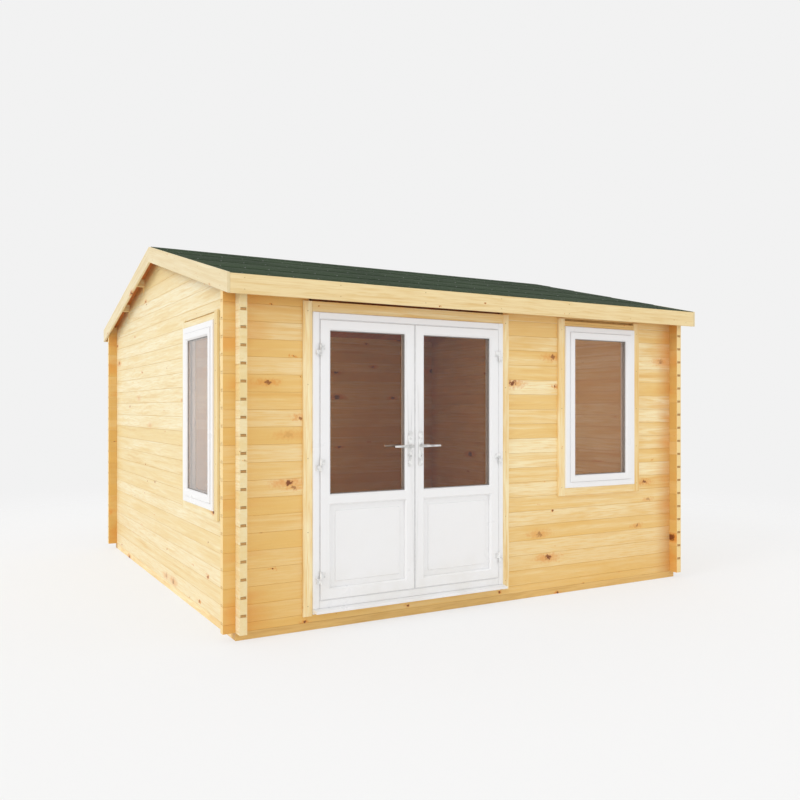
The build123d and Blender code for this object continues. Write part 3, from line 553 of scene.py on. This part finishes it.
# frames, leaves and boards get a small radius on their arrises
planed = fasciaPine, bargePine, doorTrimPine, frontTrimPine, sideTrimPine
arris = {whitePlastic: 0.0022, **dict.fromkeys(planed, 0.002)}
for finish, radius in arris.items():
    for name in finishOf[finish]:
        weld = nodes[name].modifiers.new("weld", "WELD")
        weld.merge_threshold = 0.00001
        edge = nodes[name].modifiers.new("arris", "BEVEL")
        edge.width, edge.segments = radius, 2
        edge.limit_method, edge.angle_limit = "ANGLE", 0.9
        edge.harden_normals = True
print("finishes on the frame:", sum(len(names) for names in finishOf.values()))


# modelling helpers
def applyMoves():
    bpy.ops.object.transform_apply(location=True, rotation=True, scale=True)


def addBlock(name, low, high):
    bpy.ops.mesh.primitive_cube_add(size=1, location=[(a + b) / 2 for a, b in zip(low, high)])
    piece = bpy.context.object
    piece.name = piece.data.name = name
    piece.scale = [b - a for a, b in zip(low, high)]
    applyMoves()
    return piece


def addDrum(radius, depth, sides, place=(0, 0, 0), turn=(0, 0, 0)):
    bpy.ops.mesh.primitive_cylinder_add(vertices=sides, radius=radius, depth=depth, location=place, rotation=turn)
    applyMoves()
    return bpy.context.object


def looking(axis, way):  # for the faces that look along an axis, 0 to 2, up it or down it
    return lambda face: face.normal[axis] * way > 0.9


def startPick(kind):
    bpy.ops.object.mode_set(mode="EDIT")
    bpy.ops.mesh.select_mode(type=kind)
    bpy.ops.mesh.select_all(action="DESELECT")
    bpy.ops.object.mode_set(mode="OBJECT")


def pickFaces(piece, wanted):
    startPick("FACE")
    for face in piece.data.polygons:
        face.select = wanted(face)
    bpy.ops.object.mode_set(mode="EDIT")


def pushFaces(piece, wanted, shift, inset=0.0):
    pickFaces(piece, wanted)
    if inset:
        bpy.ops.mesh.inset(thickness=inset)
    bpy.ops.transform.translate(value=shift)
    bpy.ops.object.mode_set(mode="OBJECT")


def cutEdges(piece, wanted, offset, segments):
    startPick("EDGE")
    for edge in piece.data.edges:
        start, end = (piece.data.vertices[i].co for i in edge.vertices)
        edge.select = wanted(start, end)
    bpy.ops.object.mode_set(mode="EDIT")
    bpy.ops.mesh.bevel(offset=offset, segments=segments, affect="EDGES")
    bpy.ops.object.mode_set(mode="OBJECT")


def useModifier(piece, kind, **settings):
    bpy.context.view_layer.objects.active = piece
    modifier = piece.modifiers.new("shape", kind)
    for key, value in settings.items():
        setattr(modifier, key, value)
    bpy.ops.object.modifier_apply(modifier=modifier.name)


def repeat(piece, count, step):
    useModifier(piece, "ARRAY", count=count, use_relative_offset=False, use_constant_offset=True,
                constant_offset_displace=step)


def onBothSlopes(piece):
    useModifier(piece, "MIRROR", use_axis=(False, True, False), use_mirror_merge=False)


def softEdges(piece, width, segments=2):
    useModifier(piece, "BEVEL", width=width, segments=segments, limit_method="ANGLE", angle_limit=0.6)
    bpy.ops.object.shade_smooth_by_angle(angle=0.7)


def twinOf(piece):
    bpy.ops.object.select_all(action="DESELECT")
    piece.select_set(True)
    bpy.context.view_layer.objects.active = piece
    bpy.ops.object.duplicate(linked=False)
    return bpy.context.object


def copyOf(piece, shift, turn=(0, 0, 0)):
    twin = twinOf(piece)
    twin.location, twin.rotation_euler = shift, turn
    applyMoves()
    return twin


def mirrored(name, piece, middle, axis):  # the other side of the plane across that axis, 0 for x and 1 for y
    twin = twinOf(piece)
    twin.name = twin.data.name = name
    twin.scale[axis] = -1
    twin.location[axis] = 2 * middle
    applyMoves()
    bpy.ops.object.mode_set(mode="EDIT")
    bpy.ops.mesh.select_all(action="SELECT")
    bpy.ops.mesh.normals_make_consistent(inside=False)
    bpy.ops.object.mode_set(mode="OBJECT")
    return twin


def joinAll(name, pieces):
    bpy.ops.object.select_all(action="DESELECT")
    for piece in pieces:
        piece.select_set(True)
    bpy.context.view_layer.objects.active = pieces[0]
    bpy.ops.object.join()
    pieces[0].name = pieces[0].data.name = name
    return pieces[0]


def paint(piece, finish):
    piece.data.materials.clear()
    piece.data.materials.append(finish)


def settle(piece, body, slotName, *replaced):
    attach(piece, body)
    if replaced:
        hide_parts(*replaced)


# roof boards with a vee along each joint, seen from below
low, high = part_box("roof_deck")
boardWidth = (high.x - low.x) / roofBoard["count"]
under = high.z - roofBoard["thick"] / math.cos(roofPitch)
board = addBlock("roofBoards", (low.x, roofBoard["ridgeGap"], under),
                 (low.x + boardWidth - roofBoard["gap"], high.y, high.z))
pushFaces(board, looking(1, 1), (0, 0, -slope * (high.y - roofBoard["ridgeGap"])))
cutEdges(board, lambda a, b: abs(a.y - b.y) > 1 and a.z + slope * a.y < under + 0.005, roofBoard["vee"], 1)
repeat(board, roofBoard["count"], (boardWidth, 0, 0))
onBothSlopes(board)
paint(board, boardPine)
settle(board, "cabin", "roof_boards", "roof_deck")
print("roof boards", len(board.data.polygons), "faces")

# floor boards across the joists
low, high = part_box("floor")
boardWidth = (high.y - low.y) / floorBoard["count"]
plank = addBlock("floorBoards", low, (high.x, low.y + boardWidth - floorBoard["gap"], high.z))
cutEdges(plank, lambda a, b: abs(a.x - b.x) > 1 and min(a.z, b.z) > high.z - 0.001, floorBoard["vee"], 2)
repeat(plank, floorBoard["count"], (0, boardWidth, 0))
paint(plank, floorPine)
settle(plank, "cabin", "floor_boards", "floor")
print("floor boards", len(plank.data.polygons), "faces")

# felt: four lapped sheets a slope, a cap over the ridge, clout nails along the laps
feltSheet = {"sheets": 4, "lift": 0.0027, "thick": 0.0029, "capSink": 0.0002, "capLift": 0.0006, "edge": 0.0009}
feltNail = {"radius": 0.005, "height": 0.0022, "sides": 10, "inset": 0.45, "dome": 0.4, "perRow": 24, "pitch": 0.152,
            "fromEdge": 0.022}
low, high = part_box("roof_felt")
span = high.y / feltSheet["sheets"]
sheets, nailLines = [], []
for row in range(feltSheet["sheets"]):
    lowest = row == feltSheet["sheets"] - 1
    start, end = row * span, (row + 1) * span + (0 if lowest else felt["lap"])
    lift = 0 if lowest else feltSheet["lift"]
    top = high.z - slope * start
    sheet = addBlock("feltSheet", (low.x, start, top - feltSheet["thick"]), (high.x, end, top))
    pushFaces(sheet, looking(1, 1), (0, 0, lift - slope * (end - start)))
    sheets.append(sheet)
    nailLines.append((end - feltNail["fromEdge"], lift))
cap = addBlock("feltCap", (low.x, 0.0, high.z - feltSheet["capSink"]),
               (high.x, felt["cap"], high.z + feltSheet["thick"]))
pushFaces(cap, looking(1, 1), (0, 0, feltSheet["capLift"] - slope * felt["cap"]))
nailLines.append((felt["cap"] - feltNail["fromEdge"], feltSheet["thick"] + feltSheet["capLift"]))
felted = joinAll("feltSheets", sheets + [cap])
onBothSlopes(felted)
softEdges(felted, feltSheet["edge"])
paint(felted, greenFelt)
settle(felted, "cabin", "felt", "roof_felt")


def addNail(shape):
    nail = addDrum(shape["radius"], shape["height"], shape["sides"])
    pushFaces(nail, looking(2, 1), (0, 0, shape["height"] * shape["dome"]), shape["radius"] * shape["inset"])
    return nail


nail = addNail(feltNail)
nail.rotation_euler = (-roofPitch, 0, 0)
applyMoves()
repeat(nail, feltNail["perRow"], (feltNail["pitch"], 0, 0))
rowStart = -(feltNail["perRow"] - 1) / 2 * feltNail["pitch"]
rows = [copyOf(nail, (rowStart, line, high.z - slope * line + lift)) for line, lift in nailLines]
bpy.data.objects.remove(nail)
nails = joinAll("feltNails", rows)
onBothSlopes(nails)
paint(nails, nailZinc)
settle(nails, "cabin", "handle_metal")
print("felt", len(felted.data.polygons), "faces,", 2 * feltNail["perRow"] * len(rows), "nails")

# nail heads in the fascias, the barge boards and the posts of the trims
boardNail = {"radius": 0.0032, "height": 0.0010, "sides": 10, "inset": 0.4, "dome": 0.3, "pair": (-0.032, 0.032),
             "fasciaPitch": 0.58, "fasciaEachWay": 3, "bargeReach": (0.12, 0.75, 1.3, 1.75), "bargeDrop": 0.0565,
             "perPost": 5, "postFoot": 0.06, "postSpare": 0.16}
nailHead = addNail(boardNail)
turnOf = {"front": (quarter, 0, 0), "back": (-quarter, 0, 0), "left": (0, -quarter, 0), "right": (0, quarter, 0)}
places = []
low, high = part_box("fascias")
for step in range(-boardNail["fasciaEachWay"], boardNail["fasciaEachWay"] + 1):
    for rise in boardNail["pair"]:
        along, level = step * boardNail["fasciaPitch"], (low.z + high.z) / 2 + rise
        places += [("front", (along, low.y, level)), ("back", (along, high.y, level))]
for name, way in (("left_barges", "left"), ("right_barges", "right")):
    low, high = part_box(name)
    face = low.x if way == "left" else high.x
    for reach in boardNail["bargeReach"]:
        for rise in boardNail["pair"]:
            level = high.z - boardNail["bargeDrop"] - slope * reach + rise
            places += [(way, (face, -reach, level)), (way, (face, reach, level))]
for name, way, (middle, half) in (("door_trim", "front", doorway), ("front_window_trim", "front", frontWindow),
                                  ("left_window_trim", "left", sideWindow)):
    low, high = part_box(name)
    start, end = (low.y, high.y) if way == "left" else (low.x, high.x)
    rise = (high.z - low.z - boardNail["postSpare"]) / (boardNail["perPost"] - 1)
    for post in ((start + middle - half) / 2, (end + middle + half) / 2):
        for row in range(boardNail["perPost"]):
            level = low.z + boardNail["postFoot"] + row * rise
            places.append((way, (low.x, post, level) if way == "left" else (post, low.y, level)))
boardNails = joinAll("boardNails", [copyOf(nailHead, place, turnOf[way]) for way, place in places])
bpy.data.objects.remove(nailHead)
paint(boardNails, stainedNail)
settle(boardNails, "cabin", "handle_metal")
print("board nails", len(places))

# rubber seals: round the glass on both faces, in the gaps round the leaves and the sashes
glassSeal = {"width": 0.0035, "proud": 0.0035, "edge": 0.001, "room": 0.012}
gapSeal = {"width": 0.0054, "proud": 0.010, "edge": 0.0006, "room": -0.006, "set": 0.0165}
sashSeal = {"width": 0.0018, "proud": 0.006, "edge": 0.0004, "room": -0.002, "set": 0.0125}


def sealRing(name, low, high, through, face, way, shape, finish):
    # inside a box by the shape's room, from the face along the axis through the wall, 0 for x and 1 for y
    along = 1 - through
    place, push = [0, 0, (low.z + high.z) / 2], [0, 0, 0]
    place[along], place[through] = (low[along] + high[along]) / 2, face
    push[through] = way * shape["proud"]
    bpy.ops.mesh.primitive_plane_add(size=1, location=place, rotation=(quarter, 0, 0 if through else quarter))
    ring = bpy.context.object
    ring.name = ring.data.name = name
    ring.scale = (high[along] - low[along] - 2 * shape["room"], high.z - low.z - 2 * shape["room"], 1)
    applyMoves()
    pickFaces(ring, lambda f: True)
    bpy.ops.mesh.inset(thickness=shape["width"])
    bpy.ops.mesh.delete(type="FACE")
    bpy.ops.mesh.select_all(action="SELECT")
    bpy.ops.mesh.extrude_region_move(TRANSFORM_OT_translate={"value": push})
    bpy.ops.mesh.select_all(action="SELECT")
    bpy.ops.mesh.normals_make_consistent(inside=False)
    bpy.ops.object.mode_set(mode="OBJECT")
    softEdges(ring, shape["edge"])
    paint(ring, finish)
    return ring


def sealGlass(name, node, body, through):
    low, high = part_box(node)
    outer = sealRing(name + "Seal", low, high, through, low[through], -1, glassSeal, sealRubber)
    settle(outer, body, "hinge_paint")
    inner = sealRing(name + "InnerSeal", low, high, through, high[through], 1, glassSeal, paleRubber)
    settle(inner, body, "upvc")


def sealGap(name, firstNode, lastNode, through, shape):
    low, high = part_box(firstNode)[0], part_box(lastNode)[1]
    settle(sealRing(name, low, high, through, low[through] + shape["set"], -1, shape, paleRubber), "cabin", "upvc")


sealGlass("leftLeaf", "left_leaf_glass", "left_door", 1)
sealGlass("rightLeaf", "right_leaf_glass", "right_door", 1)
sealGap("doorGapSeal", "left_leaf_frame", "right_leaf_frame", 1, gapSeal)
sealGlass("frontWindow", "front_window_glass", "cabin", 1)
sealGap("frontSashSeal", "front_window_sash", "front_window_sash", 1, sashSeal)
sealGlass("sideWindow", "left_window_glass", "cabin", 0)
sealGap("sideSashSeal", "left_window_sash", "left_window_sash", 0, sashSeal)

# flipper seal in the meeting gap, foam in the settling slots, packing strip in the slot over the front window
flipper = {"low": (-0.603, -1.782, 0.178), "high": (-0.595, -1.772, 1.820), "edge": 0.0012, "segments": 2}
doorFoam = {"low": (-1.289, -1.745, 1.890), "high": (0.089, -1.712, 1.9515), "edge": 0.004, "segments": 3}
frontFoam = {"low": (0.641, -1.745, 1.9025), "high": (1.305, -1.712, 1.9345), "edge": 0.004, "segments": 3}
sideFoam = {"low": (-1.7495, -1.4032, 1.8525), "high": (-1.712, -0.7368, 1.8848), "edge": 0.004, "segments": 3}
packer = {"low": (0.6405, -1.764, 1.8992), "high": (1.3055, -1.747, 1.918), "edge": 0.0015, "segments": 2}
for name, shape, finish, body, slotName in (
    ("meetingSeal", flipper, paleRubber, "right_door", "upvc"),
    # foam over the door: a real strip, its dark brown painted shade of the slot
    ("doorFoam", doorFoam, shadeBrownFoam, "cabin", "base_timber"),
    ("frontWindowFoam", frontFoam, tanFoam, "cabin", "base_timber"),
    ("sideWindowFoam", sideFoam, tanFoam, "cabin", "base_timber"),
    ("headPacker", packer, frontTrimPine, "cabin", "trim_timber"),
):
    strip = addBlock(name, shape["low"], shape["high"])
    softEdges(strip, shape["edge"], shape["segments"])
    paint(strip, finish)
    settle(strip, body, slotName)

# tongue ends, set back in the groove at the end of every stub
tongue = {"half": 0.0162, "height": 0.0125, "back": 0.0008, "length": 0.03, "edge": 0.001,
          "lowest": {"x": 0.0955, "y": 0.1455}}
for name, axis, finish in (("frontTongueEnds", "x", tonguePineX), ("sideTongueEnds", "y", tonguePineY)):
    columns, foot = [], tongue["lowest"][axis]
    for end in (-1, 1):
        for wall in (-1, 1):
            tip = logCourse["end"] - tongue["back"]
            near, far = sorted((end * tip, end * (tip - tongue["length"])))
            line = wall * logCourse["middle"]
            lowCorner, highCorner = (near, line - tongue["half"]), (far, line + tongue["half"])
            if axis == "y":
                lowCorner, highCorner = lowCorner[::-1], highCorner[::-1]
            column = addBlock("tongueEnd", (*lowCorner, foot), (*highCorner, foot + tongue["height"]))
            softEdges(column, tongue["edge"], 1)
            repeat(column, logCourse["count"], (0, 0, logCourse["pitch"]))
            columns.append(column)
    piece = joinAll(name, columns)
    paint(piece, finish)
    settle(piece, "cabin", "logs")
print("seals, foam and tongue ends done")

# door furniture, modelled on the left leaf outside and mirrored about the leaf and the doorway
furniture = {"spindle": (-0.638, 1.067), "leafMiddle": -1.755, "plateFront": -1.792, "sides": 24}
lever = {"foot": -1.793, "neck": 0.0085, "neckEnd": -1.826, "neckEdge": 0.0012, "rose": 0.0125, "roseEnd": -1.797,
         "roseEdge": 0.0015, "grip": (-0.767, -0.629), "depth": (-1.829, -1.818), "half": 0.009,
         "tip": (1, 0.8, 0.72), "gripEdge": 0.0044}
handlePlate = {"half": 0.015, "bottom": 0.940, "top": 1.160, "thick": 0.008, "corner": 0.006, "edge": 0.002}
keyBarrel = {"height": 1.005, "radius": 0.0085, "sink": 0.001, "proud": 0.004, "edge": 0.001}
keyway = {"half": (0.001, 0.0045), "front": 0.0043, "back": 0.003, "edge": 0.0003}
plateScrew = {"radius": 0.0042, "sides": 16, "fromEnd": 0.014, "sink": 0.001, "proud": 0.0012, "inset": 0.002,
              "hollow": 0.0009}
spindleX, spindleZ = furniture["spindle"]
plateFront, leafMiddle = furniture["plateFront"], furniture["leafMiddle"]


def addKnob(radius, y0, y1, z, sides=furniture["sides"]):  # a drum through the leaf, in line with the spindle
    return addDrum(radius, abs(y1 - y0), sides, (spindleX, (y0 + y1) / 2, z), (quarter, 0, 0))


neck = addKnob(lever["neck"], lever["foot"], lever["neckEnd"], spindleZ)
softEdges(neck, lever["neckEdge"])
rose = addKnob(lever["rose"], lever["foot"], lever["roseEnd"], spindleZ)
softEdges(rose, lever["roseEdge"])
grip = addBlock("grip", (lever["grip"][0], lever["depth"][0], spindleZ - lever["half"]),
                (lever["grip"][1], lever["depth"][1], spindleZ + lever["half"]))
pickFaces(grip, looking(0, -1))  # the free end is slimmer
bpy.ops.transform.resize(value=lever["tip"])
bpy.ops.object.mode_set(mode="OBJECT")
softEdges(grip, lever["gripEdge"], 4)
outer = joinAll("leverOutside", [grip, neck, rose])
leftLever = joinAll("leftLever", [outer, mirrored("leverInside", outer, leafMiddle, 1)])
paint(leftLever, satinSteel)
rightLever = mirrored("rightLever", leftLever, doorway[0], 0)
settle(leftLever, "left_lever_body", "handle_metal", "left_lever")
settle(rightLever, "right_lever_body", "handle_metal", "right_lever")

plate = addBlock("plate", (spindleX - handlePlate["half"], plateFront, handlePlate["bottom"]),
                 (spindleX + handlePlate["half"], plateFront + handlePlate["thick"], handlePlate["top"]))
cutEdges(plate, lambda a, b: abs(a.y - b.y) > handlePlate["thick"] / 2, handlePlate["corner"], 4)
softEdges(plate, handlePlate["edge"], 3)
barrel = addKnob(keyBarrel["radius"], plateFront + keyBarrel["sink"], plateFront - keyBarrel["proud"],
                 keyBarrel["height"])
softEdges(barrel, keyBarrel["edge"])
screws = []
for z in (handlePlate["top"] - plateScrew["fromEnd"], handlePlate["bottom"] + plateScrew["fromEnd"]):
    screw = addKnob(plateScrew["radius"], plateFront + plateScrew["sink"], plateFront - plateScrew["proud"], z,
                    plateScrew["sides"])
    pushFaces(screw, looking(1, -1), (0, plateScrew["hollow"], 0), plateScrew["inset"])
    screws.append(screw)
plate = joinAll("plateOutside", [plate, barrel] + screws)
paint(plate, plateSteel)
halfWide, halfHigh = keyway["half"]
slit = addBlock("keyway", (spindleX - halfWide, plateFront - keyway["front"], keyBarrel["height"] - halfHigh),
                (spindleX + halfWide, plateFront - keyway["back"], keyBarrel["height"] + halfHigh))
softEdges(slit, keyway["edge"])
paint(slit, keySlot)
plate = joinAll("plateOutside", [plate, slit])
leftPlates = joinAll("leftHandlePlates", [plate, mirrored("plateInside", plate, leafMiddle, 1)])
rightPlates = mirrored("rightHandlePlates", leftPlates, doorway[0], 0)
settle(leftPlates, "left_door", "handle_metal", "left_handle_plates")
settle(rightPlates, "right_door", "handle_metal", "right_handle_plates")
print("handles done")

# domed caps on the hinge knuckles, the upper ones turn with the leaf
hingeCap = {"radius": 0.0076, "height": 0.004, "sides": 20, "heights": (0.306, 0.968, 1.645), "reach": 0.0325,
            "pins": {"left": -1.247, "right": 0.047}, "pinY": -1.793, "inset": 0.003, "dome": 0.0012, "edge": 0.0006}
for side, x in hingeCap["pins"].items():
    for suffix, body, way in (("JambHingeCaps", "cabin", -1), ("LeafHingeCaps", side + "_door", 1)):
        caps = []
        for middle in hingeCap["heights"]:
            z = middle + way * (hingeCap["reach"] + hingeCap["height"] / 2)
            cap = addDrum(hingeCap["radius"], hingeCap["height"], hingeCap["sides"], (x, hingeCap["pinY"], z))
            pushFaces(cap, looking(2, way), (0, 0, way * hingeCap["dome"]), hingeCap["inset"])
            softEdges(cap, hingeCap["edge"])
            caps.append(cap)
        piece = joinAll(side + suffix, caps)
        paint(piece, hingeWhite)
        settle(piece, body, "hinge_paint")
print("hinge caps done")

# floor that fades into the pale surround
studio = {"floor": (240, 240, 240), "radius": 12, "drop": -0.0006, "edge": (3.6, 8.5), "glow": 0.956, "pale": 0.66,
          "surround": 0.887, "ambient": 0.9, "sun": 0.76, "sunAngle": 28, "towards": (0.86, 0.12, -0.5)}
bpy.ops.mesh.primitive_circle_add(vertices=96, radius=studio["radius"], fill_type="NGON",
                                  location=(0, 0, studio["drop"]))
ground = bpy.context.object
ground.name = "studioFloor"
applyMoves()
finish, tree, shader = newFinish("studioFloor")
x, y = parts(tree, objectPlace(tree))[:2]
shader.inputs["Base Color"].default_value = tone(*studio["floor"])
shader.inputs["Roughness"].default_value = 0.9
shader.inputs["Specular IOR Level"].default_value = 0.1
glow = put(tree, "ShaderNodeEmission")
glow.inputs["Strength"].default_value = studio["glow"]
# part of what the camera sees is plain pale, the rest takes the shadow
pale = mixShader(tree, times(tree, seenRays(tree), studio["pale"]), shader, glow)
gone = put(tree, "ShaderNodeBsdfTransparent")
faded = mixShader(tree, fade(tree, distance(tree, x, y), *studio["edge"]), pale, gone)
tree.links.new(faded.outputs[0], tree.nodes["Material Output"].inputs["Surface"])
paint(ground, finish)

world = bpy.data.worlds.new("paleStudio")
bpy.context.scene.world = world
world.use_nodes = True
tree = world.node_tree
backdrop = tree.nodes["Background"]
backdrop.inputs["Color"].default_value = (1, 1, 1, 1)
strength = fade(tree, seenRays(tree), 0.0, 1.0, studio["ambient"], studio["surround"])
feed(tree, backdrop.inputs["Strength"], strength)

bpy.ops.object.light_add(type="SUN", location=(-6, -4, 6))
sun = bpy.context.object
sun.name = "softSun"
sun.rotation_euler = Vector(studio["towards"]).to_track_quat("-Z", "Y").to_euler()
sun.data.energy = studio["sun"]
sun.data.angle = math.radians(studio["sunAngle"])
# a low soft box in front, and daylight inside on the far wall, in the corner and on the reveal
for name, place, turn, width, height, spread, power, colour in (
    ("frontSoftBox", (-0.6, -8.5, 0.9), (quarter, 0, 0), 6.0, 1.8, 180, 28.0, (1, 1, 1)),
    ("windowDaylight", (-0.1, -0.9, 1.3), (0, -quarter, 0), 1.2, 1.2, 105, 4.2, (1, 0.91, 0.84)),
    ("cornerDaylight", (-1.0, -0.2, 1.3), (quarter, 0, 0), 1.2, 1.2, 80, 4.0, (1, 0.9, 0.8)),
    ("revealDaylight", (-1.4, -1.5, 1.3), (quarter, 0, math.radians(25)), 0.4, 1.0, 180, 4.6, (1, 0.94, 0.88)),
):
    bpy.ops.object.light_add(type="AREA", location=place, rotation=turn)
    lamp = bpy.context.object
    lamp.name = name
    lamp.data.shape = "RECTANGLE"
    lamp.data.size, lamp.data.size_y = width, height
    lamp.data.energy = power
    lamp.data.spread = math.radians(spread)
    lamp.data.color = colour
    lamp.visible_camera = lamp.visible_glossy = False
print("studio ready")

# camera of the photograph: level, half left of the front
shot = {"place": (-3.188, -6.117, 1.303), "turn": -29.77, "lens": 36.26, "sensor": 36, "shift": 0.0101}
bpy.ops.object.camera_add(location=shot["place"], rotation=(quarter, 0, math.radians(shot["turn"])))
camera = bpy.context.object
camera.data.lens = shot["lens"]
camera.data.sensor_width = shot["sensor"]
camera.data.shift_y = shot["shift"]
bpy.context.scene.camera = camera

print("scene complete")
